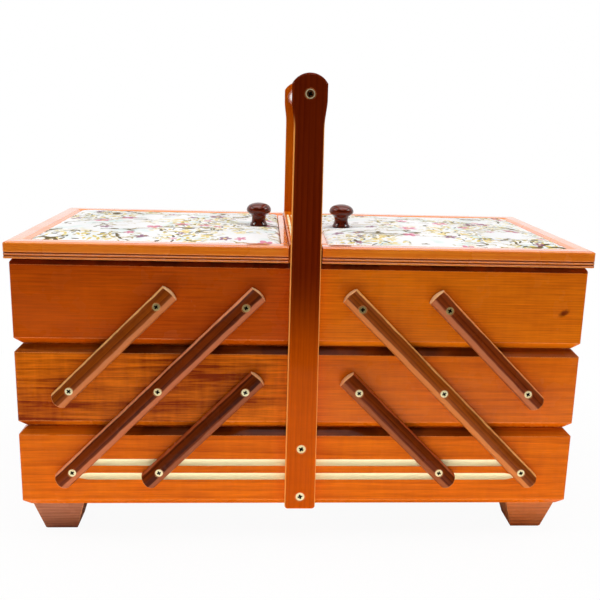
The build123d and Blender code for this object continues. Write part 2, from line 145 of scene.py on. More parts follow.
def makeGroup(name, build, inputs):
    # node group with these inputs; the given function builds its results by name
    tree = bpy.data.node_groups.new(name, "ShaderNodeTree")
    kinds = {1: "Float", 3: "Vector", 4: "Color"}
    kinds.update(VALUE="Float", VECTOR="Vector", RGBA="Color")
    for label, value in inputs.items():
        kind = "NodeSocket" + kinds[len(value) if isinstance(value, tuple) else 1]
        socket = tree.interface.new_socket(name=label, in_out="INPUT", socket_type=kind)
        socket.default_value = value
    results = build(tree.nodes.new("NodeGroupInput").outputs)
    for label, value in results.items():
        kind = "NodeSocket" + kinds[value.type]
        tree.interface.new_socket(name=label, in_out="OUTPUT", socket_type=kind)
    end = tree.nodes.new("NodeGroupOutput").inputs
    for label, value in results.items():
        tree.links.new(value, end[label])
    return tree


def newMaterial(name, **shaderValues):
    # a material, its shader with these fixed values, and the point in object space
    material = bpy.data.materials.new(name)
    material.use_nodes = True
    shader = material.node_tree.nodes["Principled BSDF"]
    for key, value in shaderValues.items():
        shader.inputs[key].default_value = value
    return material, shader, place("TexCoord", tree=material.node_tree).outputs["Object"]


def finishShader(shader, colour, roughness, bump):
    links, inputs = shader.id_data.links, shader.inputs
    links.new(colour, inputs["Base Color"])
    links.new(roughness, inputs["Roughness"])
    links.new(place("Bump", bump).outputs[0], inputs["Normal"])


# Effects that several materials share

origin = (0.0, 0.0, 0.0)
grainLook = {
    "alongGrain": (0.09, 1.0, 1.0), "swayScale": 17.0, "sway": (0.0, 0.011, 0.011),
    "rings": {"Distortion": 1.6, "Detail": 2.0, "Detail Scale": 0.35},
    "lateWood": 2.2, "ringMiddle": 0.38,
    "layers": {  # stretch, scale, detail and roughness of each layer's noise
        "Fibres": ((0.5, 1.0, 1.0), 640.0, 5.0, 0.7),
        "Figure": ((1.0, 0.13, 0.13), 230.0, 2.0, 0.5),
        "Blotches": ((0.35, 1.0, 1.0), 26.0, 3.0, 0.5),
    },
    "middle": 0.45, "fibreRelief": 0.7, "ringRelief": 0.3,
}
edgeLook = {"turned": (0.004, 0.06), "noise": (3.0, 0.6), "broken": (0.3, 0.5), "samples": 6}
marksLook = {
    "smearNoise": (4.0, 0.6), "smears": (0.38, 0.68), "bendScale": 30.0,
    "bend": (0.02, 0.02, 0.02), "thin": 0.012, "patchNoise": (24.0, 1.0), "patches": (0.55, 0.7),
}


def grainParts(start):
    # growth rings round X, fibres along it, cross figure and slow blotches
    look = grainLook
    slow = stretch(start["Vector"], look["alongGrain"])
    bent = vectors("ADD", slow, drift(slow, look["swayScale"], look["sway"]))
    rings = place(
        "TexWave", {"Vector": bent, "Scale": start["Spacing"], **look["rings"]},
        wave_type="RINGS", rings_direction="X", wave_profile="SAW",
    ).outputs["Fac"]
    lateWood = maths("POWER", rings, look["lateWood"])
    total = times(minus(lateWood, look["ringMiddle"]), start["Rings"])
    layers = {}
    for name, (factors, scale, detail, roughness) in look["layers"].items():
        point = stretch(bent if name == "Fibres" else start["Vector"], factors)
        layers[name] = noise(point, scale, detail, roughness)
        share = times(minus(layers[name], 0.5), start[name], 2.0)
        total = maths("ADD", total, share)
    total = maths("ADD", total, look["middle"], True)
    colour = mixColours(total, start["Light"], start["Dark"])
    height = maths("ADD", times(layers["Fibres"], look["fibreRelief"]),
                   times(lateWood, look["ringRelief"]))
    return {"Color": colour, "Height": height}


def edgeParts(start):
    # rounds sharp edges for the light, and masks the edges, which are painted lighter: partly worn
    # stain, partly a painted highlight
    look = edgeLook
    rounding = place("Bevel", {"Radius": start["Radius"]}, samples=look["samples"])
    rounded = rounding.outputs["Normal"]
    straight = place("NewGeometry", tree=rounding.id_data).outputs["Normal"]
    turned = minus(1.0, vectors("DOT_PRODUCT", rounded, straight))
    edge = ranged(turned, *look["turned"])
    broken = noise(start["Vector"], start["Break Scale"], *look["noise"])
    return {"Mask": times(edge, ranged(broken, *look["broken"])), "Normal": rounded}


def markParts(start):
    # smears and hairline scratches: a mask for roughness and a height for bump
    look = marksLook
    point = start["Vector"]
    smears = noise(point, start["Smear Scale"], *look["smearNoise"])
    bent = vectors("ADD", point, drift(point, look["bendScale"], look["bend"], 0.0))
    lines = place(
        "TexVoronoi", {"Vector": bent, "Scale": start["Scratch Scale"], "Randomness": 1.0},
        feature="DISTANCE_TO_EDGE",
    ).outputs["Distance"]
    thin = ranged(lines, 0.0, look["thin"], 1.0, 0.0)
    patchy = ranged(noise(point, *look["patchNoise"]), *look["patches"])
    return {"Smears": ranged(smears, *look["smears"]), "Scratches": times(thin, patchy)}


def boxParts(start):
    # 1 inside a box given by its centre and half sizes, 0 outside
    away = vectors("ABSOLUTE", vectors("SUBTRACT", start["Point"], start["Centre"]))
    past = vectors("SUBTRACT", away, start["Half"])
    furthest = maths("MAXIMUM", along(past, "X"), along(past, "Y"))
    furthest = maths("MAXIMUM", furthest, along(past, "Z"))
    return {"Mask": below(furthest, 0.0)}


boardGrain = makeGroup("boardGrain", grainParts, {
    "Vector": origin, "Light": rgb(220, 120, 40), "Dark": rgb(150, 60, 10),
    "Spacing": 110.0, "Rings": 0.4, "Fibres": 0.75, "Figure": 0.12, "Blotches": 0.45,
})
softEdges = makeGroup(
    "softEdges", edgeParts, {"Vector": origin, "Radius": 0.0006, "Break Scale": 120.0}
)
handlingMarks = makeGroup(
    "handlingMarks", markParts, {"Vector": origin, "Smear Scale": 18.0, "Scratch Scale": 90.0}
)
insideBox = makeGroup(
    "insideBox", boxParts, {"Point": origin, "Centre": origin, "Half": (1.0, 1.0, 1.0)}
)


# Stained and varnished wood

stains = {  # light and dark wood
    "honey": (rgb(240, 118, 8), rgb(184, 74, 1)),
    "gold": (rgb(250, 132, 14), rgb(198, 88, 3)),
    "deepHoney": (rgb(212, 90, 3), rgb(156, 54, 0)),
    "streaky": (rgb(236, 120, 14), rgb(130, 42, 0)),
    "amber": (rgb(255, 146, 32), rgb(232, 106, 8)),
    "copper": (rgb(156, 74, 14), rgb(86, 31, 2)),
    "russet": (rgb(138, 56, 12), rgb(74, 22, 2)),
    "walnut": (rgb(126, 50, 8), rgb(62, 18, 1)),
    "umber": (rgb(200, 128, 92), rgb(144, 82, 54)),
    "chestnut": (rgb(222, 126, 64), rgb(160, 80, 34)),
    # pale end grain, lightened further by a painted highlight
    "endGrain": (rgb(255, 232, 180), rgb(255, 196, 128)),
    "birch": (rgb(222, 186, 136), rgb(190, 148, 96)),
}
varnish = {
    "roughness": (0.22, 0.36), "shine": 0.14, "gloss": 0.12, "coatRoughness": 0.07,
    "edgeRadius": 0.0009, "wearAndHighlight": 0.75, "relief": 0.25, "reliefDepth": 0.00012,
    "scratchDepth": 0.5, "pithNear": 0.05, "pithFar": 0.16,
}
creamWood = rgb(255, 240, 190)
# colour of the edges: worn stain and a painted highlight
rubbedAndLitEdge = rgb(250, 164, 96)
# painted shade in the bead grooves of the lid rails
paintedGrooveShade = {"reach": (0.0003, 0.0008), "amount": 0.8, "colour": rgb(150, 52, 6)}
paintedBevelShade = {  # painted shade on bevels that face up, under the lid, the tier above and the arms, less toward the box's ends
    "colour": rgb(36, 8, 1), "facing": (0.35, 0.6), "flat": (0.85, 0.97), "height": 0.0046,
    "lowShare": 0.85, "reach": (0.12, 0.19), "patchNoise": (42.0, 3.0),
    "patches": (0.4, 0.58, 0.85, 1.0),
}


def darkenTop(point, colour, relief, look):
    # darker wood from one height up, with its own grain
    shade = ranged(along(point, "Z"), look["from"], look["to"], 0.0, look["amount"])
    darkWood = mixColours(ranged(relief, *look["grain"]), *look["colours"])
    return mixColours(shade, colour, darkWood)


def paintBevelShade(point, colour, amount, endShare, top):
    look = paintedBevelShade
    # painted shade: darkest deep in the bevel, in patches where the arms shade it
    upward = facingAlong(point, "Z")
    lowAmount = amount * look["lowShare"]
    deep = ranged(along(point, "Z"), top - look["height"], top, lowAmount, amount)
    slanted = times(ranged(upward, *look["facing"]), ranged(upward, *look["flat"], 1.0, 0.0))
    outward = size(along(point, "X"))
    ends = ranged(outward, *look["reach"], 1.0, endShare)
    patches = ranged(noise(point, *look["patchNoise"]), *look["patches"])
    return mixColours(times(deep, slanted, ends, patches), colour, look["colour"])


def addKnot(point, colour, look):
    reach = vectors("SUBTRACT", point, look["centre"])
    turn = {"Vector": reach, "Angle": math.radians(look["slant"])}
    reach = place("VectorRotate", turn, rotation_type="Y_AXIS").outputs[0]
    ragged = drift(point, look["raggedScale"], look["ragged"], 0.0)
    reach = stretch(vectors("ADD", reach, ragged), (1.0, 0.0, look["stretch"]))
    radius = look["radius"]
    spot = ranged(vectors("LENGTH", reach), radius * look["core"], radius, look["amount"], 0.0)
    return mixColours(spot, colour, look["colour"])


def paintArmEdgeLight(point, colour, look):
    # painted highlight along the arm's upper long edge and painted floor reflection along its lower
    # one, to an unsteady line
    across = minus(vectors("DOT_PRODUCT", point, look["across"]), look["middle"])
    unsteady = minus(noise(point, *look["waves"]), 0.5)
    across = maths("ADD", across, times(unsteady, look["unsteady"]))
    upper = ranged(across, *look["upper"])
    lower = times(ranged(across, *look["lower"]),
                  ranged(across, *look["lowest"], 1.0, look["underside"]))
    for band, shade in ((upper, look["upperHighlight"]), (lower, look["lowerReflection"])):
        colour = mixColours(times(band, look["amount"]), colour, shade)
    return colour


def woodMaterial(name, stain, grain=(1, 0, 0), shine=varnish["shine"], gloss=varnish["gloss"],
                 paleBoxes=(), knot=None, darkTop=None, darkBevel=None, bands=None, litSides=None,
                 grooves=(), **figures):
    draw = random.Random(name)
    light, dark = stains[stain]
    material, shader, point = newMaterial(name, **{
        "Specular IOR Level": shine, "Coat Weight": gloss,
        "Coat Roughness": varnish["coatRoughness"],
    })
    turn = Vector(grain).rotation_difference(Vector((1, 0, 0))).to_euler()
    pith = draw.uniform(varnish["pithNear"], varnish["pithFar"])
    lean = draw.uniform(0, 2 * math.pi)
    shift = (draw.uniform(-1, 1), pith * math.cos(lean), pith * math.sin(lean))
    turned = {"Vector": point, "Location": shift, "Rotation": turn}
    board = place("Mapping", turned).outputs[0]
    grainOut = useGroup(boardGrain, {"Vector": board, "Light": light, "Dark": dark, **figures})
    edges = useGroup(softEdges, {"Vector": point, "Radius": varnish["edgeRadius"]})
    marks = useGroup(handlingMarks, {"Vector": board})
    colour = grainOut["Color"]
    uncoatedAndSideLit = 0.0  # where the coat is taken off: in the grooves, and on the upright's sides, which also take the painted side light
    if darkTop:
        colour = darkenTop(point, colour, grainOut["Height"], darkTop)
    # painted shade on the bevels that face up
    if darkBevel:
        colour = paintBevelShade(point, colour, *darkBevel)
    if knot:
        colour = addKnot(point, colour, knot)
    # painted highlight and painted reflection along the arms' long edges
    if bands:
        colour = paintArmEdgeLight(point, colour, bands)
    if litSides:
        # painted highlight: the upright's sides and edges are painted lighter up to its head, where
        # light from the side falls on them
        uncoatedAndSideLit = ranged(size(facingAlong(point, "X")), *litSides["facing"])
        height = along(point, "Z")
        low = ranged(height, *litSides["height"], litSides["amount"], 0.0)
        colour = mixColours(times(uncoatedAndSideLit, low), colour, litSides["colour"])
    # edges painted lighter: partly worn stain, partly a painted highlight
    rubAndGlint = times(edges["Mask"], varnish["wearAndHighlight"])
    colour = mixColours(rubAndGlint, colour, rubbedAndLitEdge)
    # painted shade in each bead groove, where the coat is also taken off
    for level in grooves:
        away = size(minus(along(point, "Z"), level))
        near = ranged(away, *paintedGrooveShade["reach"], 1.0, 0.0)
        grooveShade = times(near, paintedGrooveShade["amount"])
        colour = mixColours(grooveShade, colour, paintedGrooveShade["colour"])
        uncoatedAndSideLit = maths("MAXIMUM", near, uncoatedAndSideLit)
    if litSides or grooves:
        coat = times(minus(1.0, uncoatedAndSideLit), gloss)
        shader.id_data.links.new(coat, shader.inputs["Coat Weight"])
    for centre, half in paleBoxes:
        pale = useGroup(insideBox, {"Point": point, "Centre": centre, "Half": half})["Mask"]
        colour = mixColours(pale, colour, creamWood)
    scratches = times(marks["Scratches"], varnish["scratchDepth"])
    roughness = ranged(marks["Smears"], 0.0, 1.0, *varnish["roughness"])
    finishShader(shader, colour, roughness, {
        "Height": minus(grainOut["Height"], scratches), "Distance": varnish["reliefDepth"],
        "Strength": varnish["relief"], "Normal": edges["Normal"],
    })
    return material


def addMaterials(mesh, materials):
    for material in materials:
        mesh.materials.append(material)


def dress(name, *materials):
    # a CAD node takes these materials in place of its own
    nodes[name].data.materials.clear()
    addMaterials(nodes[name].data, materials)


def middleOf(name):
    low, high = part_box(name)
    return (low + high) / 2


# Boxes, trays and lids: each board is its own piece of wood

fluteLook = {
    "rises": (0.0257, 0.0374), "halfHeight": 0.0029, "halfLength": 0.1765, "depth": 0.0014,
    "skin": 0.00004,
}
crestLook = {
    "spacing": 0.0038, "halfWidth": 0.0011, "halfLength": 0.0755, "depth": 0.0009, "skin": 0.00003,
}
knotLook = {
    "right": 0.0155, "up": 0.031, "radius": 0.0062, "core": 0.25, "stretch": 1.9, "slant": 30.0,
    "raggedScale": 500.0, "ragged": (0.002, 0.0, 0.002), "amount": 0.85, "colour": rgb(96, 20, 2),
}
# how dark the painted shade on each tier's upper bevels is, and the share of that at the box's ends
tierBevelShade = {"base": (0.95, 0.15), "middle": (0.95, 0.6), "top": (1.0, 0.9)}
boardLooks = {
    "base_front_panel": {"Rings": 0.35, "Blotches": 0.4, "shine": 0.05, "gloss": 0.03},
    "left_middle_front_panel": {
        "stain": "streaky", "Figure": 0.22, "Blotches": 1.1, "Rings": 0.35, "Fibres": 1.0,
        "shine": 0.06, "gloss": 0.03,
    },
    "right_middle_front_panel": {"Rings": 0.3, "Blotches": 0.35},
    "left_top_front_panel": {"stain": "deepHoney", "Rings": 0.22, "Spacing": 120.0},
    "right_top_front_panel": {"stain": "gold", "Rings": 0.3, "Spacing": 170.0, "Blotches": 0.3},
    "top_inner_end": {"stain": "gold", "darkBevel": None, "shine": 0.1, "gloss": 0.1},
    "floor": {"stain": "birch", "gloss": 0.0, "Rings": 0.2, "Figure": 0.05},
    "leftFoot": {"stain": "umber", "Rings": 0.4},
    "rightFoot": {"stain": "chestnut", "Rings": 0.4},
}


def fluteBoxes():
    # the two pale flutes, from just under the panel's face to their bottoms
    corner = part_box("base_front_panel")[0]
    low, high = corner.y + fluteLook["skin"], corner.y + fluteLook["depth"]
    half = (fluteLook["halfLength"], (high - low) / 2, fluteLook["halfHeight"])
    return [((0.0, (low + high) / 2, corner.z + rise), half) for rise in fluteLook["rises"]]


def crestBoxes(side):
    low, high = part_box(side + "_top_inner_end")
    top, bottom = high.z - crestLook["skin"], high.z - crestLook["depth"]
    half = (crestLook["halfWidth"], crestLook["halfLength"], (top - bottom) / 2)
    middle, aside = (low.x + high.x) / 2, crestLook["spacing"] / 2
    return [((x, 0.0, (top + bottom) / 2), half) for x in (middle - aside, middle + aside)]


def boardWood(tier, board, grain):
    name = tier + "_" + board
    side, tierName = tier.split("_") if "_" in tier else ("", tier)
    bevel = (*tierBevelShade[tierName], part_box(tier + "_front_panel")[1].z)
    look = {"stain": "honey", "darkBevel": bevel, **boardLooks.get(name, {})}
    if name == "base_front_panel":
        look["paleBoxes"] = fluteBoxes()
    if name.endswith("top_inner_end"):
        look.update(boardLooks["top_inner_end"], paleBoxes=crestBoxes(side))
    if name == "right_top_front_panel":
        low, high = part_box(name)
        centre = (high.x - knotLook["right"], low.y, low.z + knotLook["up"])
        look["knot"] = dict(knotLook, centre=centre)
    return woodMaterial(name + "Wood", grain=grain, **look)


def dressBoards():
    for tier in ["base"] + [side + "_" + tier for side in sides for tier in ("middle", "top")]:
        ends = ("left_end", "right_end") if tier == "base" else ("inner_end", "outer_end")
        for board in ("front_panel", "back_panel", *ends):
            grain = (0, 1, 0) if board in ends else (1, 0, 0)
            dress(tier + "_" + board, boardWood(tier, board, grain))
        dress(tier + "_floor", woodMaterial(tier + "FloorPly", **boardLooks["floor"]))
    feet = ("leftFoot", "rightFoot")
    dress("feet", *(woodMaterial(foot + "Wood", **boardLooks[foot]) for foot in feet))
    for polygon in nodes["feet"].data.polygons:
        polygon.material_index = int(polygon.center.x > 0)


railLook = {
    "wood": {"Rings": 0.3, "shine": 0.35, "gloss": 1.0},
    "beadRises": (0.0043, 0.002),  # the bead grooves above the rails' underside
    "width": 0.0211, "stripWidth": 0.0056, "cornerSlack": 0.0002,
    "board": {"stain": "birch", "gloss": 0.0, "Rings": 0.2},
}


def dressLids():
    # mouldings along X and Y each take a material whose grain runs their way
    for side, way in sides.items():
        name = side + "_lid_rails"
        low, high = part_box(name)
        look = dict(railLook["wood"], grooves=[low.z + rise for rise in railLook["beadRises"]])
        dress(name, woodMaterial(side + "LongRailWood", "amber", grain=(1, 0, 0), **look),
              woodMaterial(side + "CrossRailWood", "amber", grain=(0, 1, 0), **look))
        outer, inner = (high.x, low.x) if way > 0 else (low.x, high.x)
        width = railLook["width"]
        for polygon in nodes[name].data.polygons:
            x, y, _ = polygon.center
            fromSide = min(high.y - y, y - low.y)
            nearStrip = abs(inner - x) < railLook["stripWidth"]
            isStrip = nearStrip and fromSide > width - railLook["cornerSlack"]
            polygon.material_index = int(isStrip or abs(outer - x) < min(width, fromSide))
        dress(side + "_lid_board", woodMaterial(side + "LidPly", **railLook["board"]))


dressBoards()
dressLids()
print("boards and lids dressed")


# Arms and handle

armLooks = {
    # stain, colour of the painted highlight on the upper edge and of the painted floor reflection
    # on the lower edge
    "left_long": ("walnut", rgb(255, 170, 120), rgb(190, 108, 68)),
    "left_lower": ("walnut", rgb(184, 92, 50), rgb(150, 82, 50)),
    "left_upper": ("copper", rgb(255, 200, 124), rgb(200, 120, 68)),
    "right_long": ("copper", rgb(255, 194, 110), rgb(208, 124, 62)),
    "right_lower": ("walnut", rgb(184, 88, 44), rgb(154, 84, 46)),
    "right_upper": ("russet", rgb(255, 172, 100), rgb(186, 108, 66)),
}
# bands of painted highlight and painted floor reflection along the arms' long edges, then the arms'
# wood, finish and end faces
armBands = {
    "upper": (0.006, 0.0067), "lower": (-0.0018, -0.0028), "lowest": (-0.0058, -0.0068),
    "underside": 0.35, "amount": 0.9, "waves": (70.0, 3.0), "unsteady": 0.0014,
    "wood": {"Rings": 0.6, "Blotches": 0.6, "Fibres": 0.6},
    "finish": {"shine": 0.1, "gloss": 0.05}, "endsFacing": 0.75,
}


def dressArms():
    # the sawn ends take a pale cream colour: paler end grain, with a painted highlight where the
    # light from above falls on them
    for key, (stain, upperHighlight, lowerReflection) in armLooks.items():
        low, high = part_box(key + "_arm_front")
        rise = -1 if key.startswith("right") else 1
        grain = Vector((high.x - low.x, 0, (high.z - low.z) * rise)).normalized()
        across = Vector((-grain.z, 0, grain.x)) * (1 if grain.x > 0 else -1)
        bands = dict(armBands, across=across, middle=across.dot((low + high) / 2),
                     upperHighlight=upperHighlight, lowerReflection=lowerReflection)
        look = dict(armBands["wood"], grain=grain)
        finish = armBands["finish"]
        for face in ("front", "back"):
            name = key + "_arm_" + face
            dress(name, woodMaterial(name + "Wood", stain, bands=bands, **look, **finish),
                  woodMaterial(name + "EndGrain", "endGrain", **look))
            for polygon in nodes[name].data.polygons:
                facesEnd = abs(polygon.normal.dot(grain)) > armBands["endsFacing"]
                polygon.material_index = int(facesEnd)


handleLook = {
    "front": {"stain": "deepHoney", "amount": 0.95}, "back": {"stain": "honey", "amount": 0.15},
    "wood": {"Rings": 0.2, "Blotches": 0.7, "Fibres": 0.45, "shine": 0.0, "gloss": 0.12},
    "top": {
        "from": 0.125, "to": 0.225, "grain": (0.25, 0.6),
        "colours": (rgb(106, 27, 3), rgb(88, 20, 2)),
    },
    # painted highlight on the upright's sides and edges
    "sides": {
        "facing": (0.6, 0.85), "height": (0.318, 0.334), "amount": 0.95,
        "colour": rgb(255, 170, 84),
    },
    "grip": {"stain": "deepHoney", "shine": 1.0, "gloss": 1.0},
}


def dressHandle():
    for face in ("front", "back"):
        own = handleLook[face]
        name = "handle_" + face + "_upright"
        darkTop = dict(handleLook["top"], amount=own["amount"])
        dress(name, woodMaterial(name + "Wood", own["stain"], grain=(0, 0, 1), darkTop=darkTop,
                                 litSides=handleLook["sides"], **handleLook["wood"]))
    dress("handle_grip", woodMaterial("gripWood", grain=(0, 1, 0), **handleLook["grip"]))


dressArms()
dressHandle()
print("arms and handle dressed")


# Metal

metalLook = {
    "smearScale": 60.0, "scratchScale": 500.0, "edgeRadius": 0.00015, "breakScale": 600.0,
    "tarnish": 0.6, "scratchDepth": 0.00003, "relief": 0.4,
}


def metalMaterial(name, colour, tarnish, roughness, metallic=1.0):
    look = metalLook
    material, shader, point = newMaterial(name, Metallic=metallic)
    scales = {"Smear Scale": look["smearScale"], "Scratch Scale": look["scratchScale"]}
    marks = useGroup(handlingMarks, {"Vector": point, **scales})
    rounding = {"Radius": look["edgeRadius"], "Break Scale": look["breakScale"]}
    edges = useGroup(softEdges, {"Vector": point, **rounding})
    tone = mixColours(times(marks["Smears"], look["tarnish"]), colour, tarnish)
    finishShader(shader, tone, ranged(marks["Smears"], 0.0, 1.0, *roughness), {
        "Height": marks["Scratches"], "Distance": look["scratchDepth"],
        "Strength": look["relief"], "Normal": edges["Normal"],
    })
    return material


# clean colour, tarnish and the range of roughness of each metal
dullSteel = metalMaterial("dullSteel", rgb(190, 168, 110), rgb(120, 100, 54), (0.34, 0.5), 0.5)
screwSteel = metalMaterial("screwSteel", rgb(255, 246, 200), rgb(240, 214, 146), (0.3, 0.46), 0.3)
agedSteel = metalMaterial("agedSteel", rgb(150, 96, 54), rgb(64, 30, 12), (0.3, 0.45), 0.7)
# near-black steel: painted shade in the screw recesses and slots
recessShadeSteel = metalMaterial("recessShadeSteel", rgb(34, 26, 16), rgb(12, 8, 4), (0.5, 0.7))
hingeBrass = metalMaterial("hingeBrass", rgb(226, 190, 110), rgb(150, 112, 52), (0.2, 0.45))
for side in sides:
    for leaves in ("_hinge_tray_leaves", "_hinge_lid_leaves"):
        dress(side + leaves, hingeBrass)


# Screws: countersunk heads with a cross recess, one joined mesh for each group of screws

screwLook = {
    "mergeReach": 1e-6, "segments": 40, "smooth": 30, "rim": 0.00018, "crown": 0.00012,
    "agedReach": 0.77,
    "pivot": {"shank": 0.0015, "head": 0.003}, "handle": {"shank": 0.00175, "head": 0.0035},
    # shares of the head's radius
    "recess": {"reach": 0.8, "width": 0.5, "depth": 0.6, "foot": 0.35},
    # points of each head's face: share of the head's radius, and of the crown or the pan's height
    "sunk": [(0, 0.0), (0.6, -0.3), (0.77, -0.64)],
    "pan": [(0, 1.0), (0.55, 0.96), (0.85, 0.7), (1.0, 0.3), (1.0, 0.0)],
    "tip": 0.15,
}


def addObject(name, data):
    made = bpy.data.objects.new(name, data)
    bpy.context.scene.collection.objects.link(made)
    return made


def meshFrom(name, form, materials=()):
    mesh = bpy.data.meshes.new(name)
    form.to_mesh(mesh)
    form.free()
    addMaterials(mesh, materials)
    return mesh


def smoothMesh(mesh, angle):
    mesh.polygons.foreach_set("use_smooth", [True] * len(mesh.polygons))
    mesh.set_sharp_from_angle(angle=math.radians(angle))


def lathe(profile, segments):
    # turns (radius, height) points about Z; a radius of 0 closes the form
    form = bmesh.new()
    rows = []
    for radius, height in profile:
        angles = [2 * math.pi * step / segments for step in range(segments if radius else 1)]
        spots = [(radius * math.cos(a), radius * math.sin(a), height) for a in angles]
        rows.append([form.verts.new(spot) for spot in spots])
    for lower, upper in zip(rows, rows[1:]):
        for step in range(segments):
            after = (step + 1) % segments
            corners = [lower[step % len(lower)], lower[after % len(lower)],
                       upper[after % len(upper)], upper[step % len(upper)]]
            form.faces.new(list(dict.fromkeys(corners)))
    bmesh.ops.recalc_face_normals(form, faces=form.faces)
    return form


def crossCutter(radius):
    # four tapered wings, as the driver leaves them
    form = bmesh.new()
    look = screwLook["recess"]
    reach, half, depth = (radius * look[key] for key in ("reach", "width", "depth"))
    half /= 2
    for turn in (0, math.pi / 2):
        made = bmesh.ops.create_cube(form, size=2.0)["verts"]
        for vert in made:
            deep = vert.co.z < 0
            share = look["foot"] if deep else 1.0
            vert.co = Vector((vert.co.x * reach * share, vert.co.y * half * (0.5 + share / 2),
                              -depth if deep else depth))
        turned = Matrix.Rotation(turn, 3, "Z")
        bmesh.ops.rotate(form, verts=made, cent=(0, 0, 0), matrix=turned)
    return form


def cutMesh(solid, cutter, name, metal=screwSteel):
    # solid minus cutter; the faces that the cutter leaves keep its material slot, the dark steel
    # that paints shade into the recess
    made = []
    for index, (label, form) in enumerate(((name, solid), (name + "Tool", cutter))):
        mesh = meshFrom(label, form, (metal, recessShadeSteel))
        mesh.polygons.foreach_set("material_index", [index] * len(mesh.polygons))
        made.append(addObject(label, mesh))
    holder, knife = made
    setUp(holder.modifiers.new("recess", "BOOLEAN"), operation="DIFFERENCE", object=knife,
          solver="EXACT", use_self=True)
    graph = bpy.context.evaluated_depsgraph_get()
    shape = bpy.data.meshes.new_from_object(holder.evaluated_get(graph))
    bpy.data.objects.remove(holder)
    bpy.data.objects.remove(knife)
    smoothMesh(shape, screwLook["smooth"])
    return shape


def screwMesh(name, sizes, length, pan=0.0, metal=screwSteel):
    # head's face near z 0, shank down; pan is the height of a head that isn't sunk
    shank, head = sizes["shank"], sizes["head"]
    crown, rim = screwLook["crown"], screwLook["rim"]
    rise = pan or crown
    outline = [(head * r, rise * z) for r, z in screwLook["pan" if pan else "sunk"]]
    if pan:
        outline += [(shank, 0.0)]
    else:
        outline += [(head - rim, -crown), (head, -crown - rim), (shank, shank - head - crown)]
    outline += [(shank, shank - length), (shank * screwLook["tip"], -length), (0, -length)]
    form = lathe(outline, screwLook["segments"])
    cutter = crossCutter(head)
    bmesh.ops.translate(cutter, verts=cutter.verts, vec=(0, 0, pan))
    return cutMesh(form, cutter, name, metal)


def solidsOf(name):
    # the CAD node's separate solids, each as an array of points
    form = bmesh.new()
    form.from_mesh(nodes[name].data)
    bmesh.ops.remove_doubles(form, verts=form.verts, dist=screwLook["mergeReach"])
    left, found = set(form.verts), []
    while left:
        front = [left.pop()]
        group = list(front)
        while front:
            here = front.pop()
            for edge in here.link_edges:
                there = edge.other_vert(here)
                if there in left:
                    left.remove(there)
                    front.append(there)
                    group.append(there)
        found.append(np.array([vert.co for vert in group]))
    form.free()
    return sorted(found, key=lambda points: tuple(np.round(points.mean(0), 4)))


def screwPlace(spot, angle, draw):
    # a placement at the spot, tipped about X and spun about its own axis at random
    spin = Matrix.Rotation(draw.uniform(0, math.pi), 4, "Z")
    return Matrix.Translation(spot) @ Matrix.Rotation(angle, 4, "X") @ spin


def joinCopies(name, mesh, placements):
    # one mesh that holds a copy of the given one at each placement
    form = bmesh.new()
    for placement in placements:
        first = len(form.verts)
        form.from_mesh(mesh)
        form.verts.ensure_lookup_table()
        bmesh.ops.transform(form, matrix=placement, verts=form.verts[first:])
    return addObject(name, meshFrom(name, form, mesh.materials))


def frontScrews(node, body, pieceName):
    # a screw for each solid of the node, facing out of the front or the back
    draw = random.Random(node)
    solids = solidsOf(node)
    sizes = screwLook["handle" if node.startswith("handle") else "pivot"]
    length = float(np.ptp(solids[0][:, 1]))
    metal = dullSteel if "_top_" in node else screwSteel
    mesh = screwMesh(pieceName + "Shape", sizes, length, metal=metal)
    placements = []
    for points in solids:
        low, high = points.min(0), points.max(0)
        middle = (low + high) / 2
        face, angle = (low[1], 90) if middle[1] < 0 else (high[1], -90)
        spot = (middle[0], face, middle[2])
        placements.append(screwPlace(spot, math.radians(angle), draw))
    piece = joinCopies(pieceName, mesh, placements)
    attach(piece, body)
    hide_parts(node)
    return piece


def ageGripScrews(piece):
    # the two screws into the grip have darkened, all but their rims
    piece.data.materials.append(agedSteel)
    axis = middleOf("handle_grip")
    reach = screwLook["handle"]["head"] * screwLook["agedReach"]
    for polygon in piece.data.polygons:
        away = math.hypot(polygon.center.x - axis.x, polygon.center.z - axis.z)
        if away < reach and polygon.material_index == 0:
            polygon.material_index = 2


ageGripScrews(frontScrews("handle_screws", "root", "handleScrews"))
frontScrews("base_pivot_screws", "root", "basePivotScrews")
for side in sides:
    for tier in ("middle", "top"):
        tray = side + "_" + tier
        frontScrews(tray + "_pivot_screws", tray + "_tray", side + tier.title() + "Screws")
print("screws made")


# Hinge screws: small slotted heads on the faces of the leaves

hingeScrewLook = {
    "radius": 0.0016, "proud": 0.00018, "under": 0.0006, "segments": 28,
    # shares of the radius, and of the height over the leaf
    "face": [(0, 1.0), (0.7, 0.8), (1.0, 0.0)], "foot": (0.8, 0),
    "slot": 0.00042, "slotDepth": 0.00035, "slotReach": 3,
    "along": 0.0085, "fromEdge": 0.0042, "leastLeaf": 0.006, "faceSlack": 1e-4,
}


def slottedHead(name):
    look = hingeScrewLook
    radius, proud = look["radius"], look["proud"]
    outline = [(radius * r, proud * z) for r, z in look["face"]]
    outline += [(radius * r, -look["under"]) for r in look["foot"]]
    form = lathe(outline, look["segments"])
    cutter = bmesh.new()
    bmesh.ops.create_cube(cutter, size=1.0)
    slot = (look["slotReach"] * radius, look["slot"], 2 * look["slotDepth"])
    bmesh.ops.scale(cutter, verts=cutter.verts, vec=slot)
    bmesh.ops.translate(cutter, verts=cutter.verts, vec=(0, 0, proud))
    return cutMesh(form, cutter, name)


